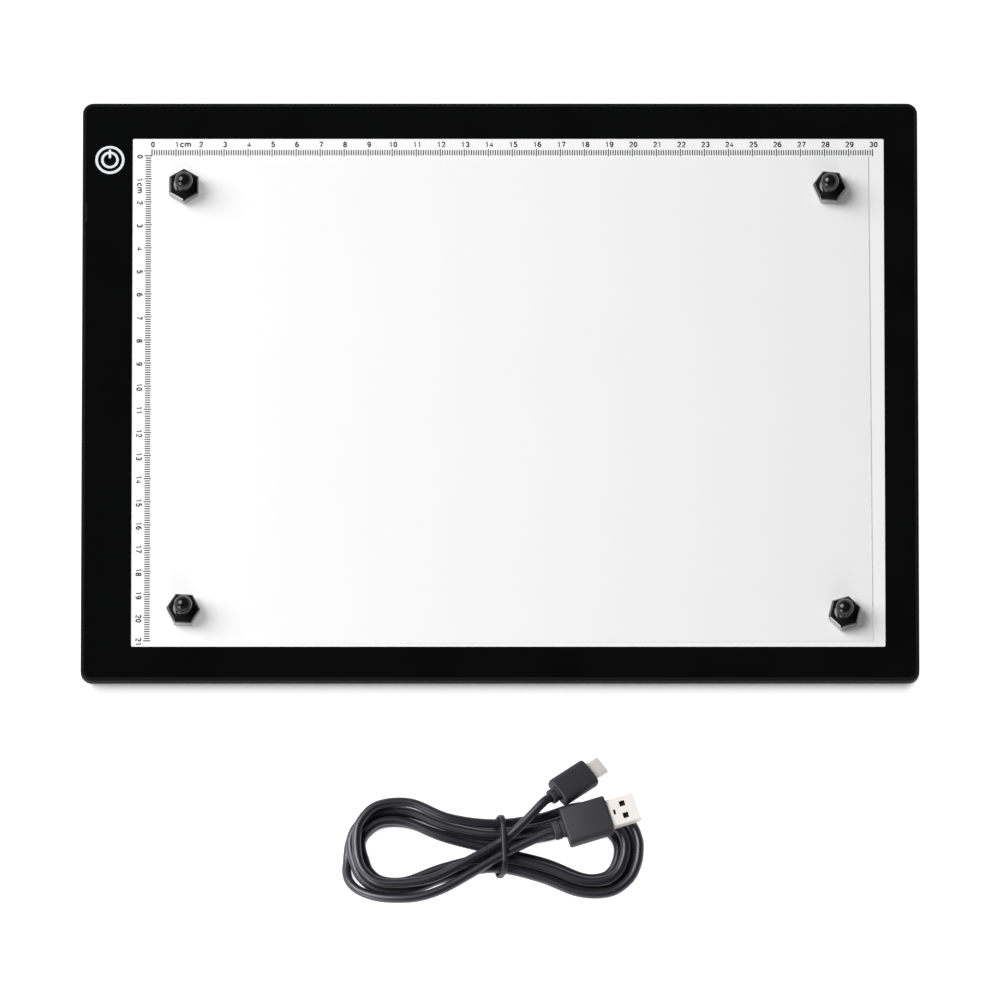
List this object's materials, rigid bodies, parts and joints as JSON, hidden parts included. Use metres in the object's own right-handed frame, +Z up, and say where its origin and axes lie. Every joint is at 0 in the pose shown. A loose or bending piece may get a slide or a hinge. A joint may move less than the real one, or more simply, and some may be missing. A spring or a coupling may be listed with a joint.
{
  "type": "led tracing pad",
  "caption": "Thin back-lit tracing pad, black border, rulers on two edges of its lit window, magnetic pins holding a sheet, and its power lead tied in a hank.",
  "frame": {"origin": "under the middle of the pad, on the surface that its feet stand on", "axes": "+X along the pad's long side to the right, +Y to its rear edge, away from the user, +Z up out of the lit face"},
  "size_m": [0.3474, 0.3468, 0.0213],
  "materials": {
    "shell": "satin moulded",
    "steel": "zinc plated",
    "white_film": "matte film",
    "clear_acrylic": "clear acrylic",
    "tape": "matte",
    "lit_panel": "milky acrylic, lit from behind",
    "black_film": "printed black film, satin gloss",
    "board_white": "solder mask",
    "board_green": "solder mask",
    "chip": "moulded",
    "foam": "conductive foam",
    "nickel": "nickel plated",
    "ceramic": "matte ceramic",
    "ferrite": "matte ferrite",
    "lead_red": "wire insulation",
    "lead_black": "wire insulation",
    "rubber": "matte rubber",
    "paper": "smooth paper",
    "pin_gloss": "high gloss",
    "magnet": "nickel plated magnet",
    "cable_jacket": "satin jacket",
    "cable_tie": "satin",
    "overmould": "fine moulded grain",
    "tongue_black": "moulded"
  },
  "bodies": {
    "pad": {"back_cover": "shell", "steel_sheet": "steel", "reflector_sheet": "white_film", "light_guide": "clear_acrylic", "diffuser_sheet": "white_film", "panel_tape": "tape", "front_panel": "lit_panel", "border_film": "black_film", "led_strip": "board_white", "control_board": "board_green", "touch_chip": "chip", "driver_chip": "chip", "choke": "ferrite", "capacitor_1": "ceramic", "capacitor_2": "ceramic", "touch_foam": "foam", "power_port_shell": "nickel", "power_port_tongue": "chip", "led_lead_positive": "lead_red", "led_lead_negative": "lead_black", "foot_front_left": "rubber", "foot_front_right": "rubber", "foot_rear_left": "rubber", "foot_rear_right": "rubber"},
    "sheet": {"tracing_sheet": "paper"},
    "pin_rear_left": {"pin_rear_left_knob": "pin_gloss", "pin_rear_left_magnet": "magnet"},
    "pin_rear_right": {"pin_rear_right_knob": "pin_gloss", "pin_rear_right_magnet": "magnet"},
    "pin_front_left": {"pin_front_left_knob": "pin_gloss", "pin_front_left_magnet": "magnet"},
    "pin_front_right": {"pin_front_right_knob": "pin_gloss", "pin_front_right_magnet": "magnet"},
    "cable": {"cable_hank": "cable_jacket", "cable_tie": "cable_tie", "large_plug_overmould": "overmould", "large_plug_sleeve": "nickel", "large_plug_tongue": "tongue_black", "small_plug_overmould": "overmould", "small_plug_sleeve": "nickel", "small_plug_insert": "chip"}
  },
  "joints": [
    {"name": "sheet_lift", "type": "slide", "parent": "pad", "child": "sheet", "axis": [0, 0, 1], "range_m": [0, 0.06]},
    {"name": "pin_rear_left_lift", "type": "slide", "parent": "sheet", "child": "pin_rear_left", "axis": [0, 0, 1], "range_m": [0, 0.04]},
    {"name": "pin_rear_right_lift", "type": "slide", "parent": "sheet", "child": "pin_rear_right", "axis": [0, 0, 1], "range_m": [0, 0.04]},
    {"name": "pin_front_left_lift", "type": "slide", "parent": "sheet", "child": "pin_front_left", "axis": [0, 0, 1], "range_m": [0, 0.04]},
    {"name": "pin_front_right_lift", "type": "slide", "parent": "sheet", "child": "pin_front_right", "axis": [0, 0, 1], "range_m": [0, 0.04]},
    {"name": "cable_lift", "type": "slide", "parent": "pad", "child": "cable", "axis": [0, 0, 1], "range_m": [0, 0.08]}
  ]
}
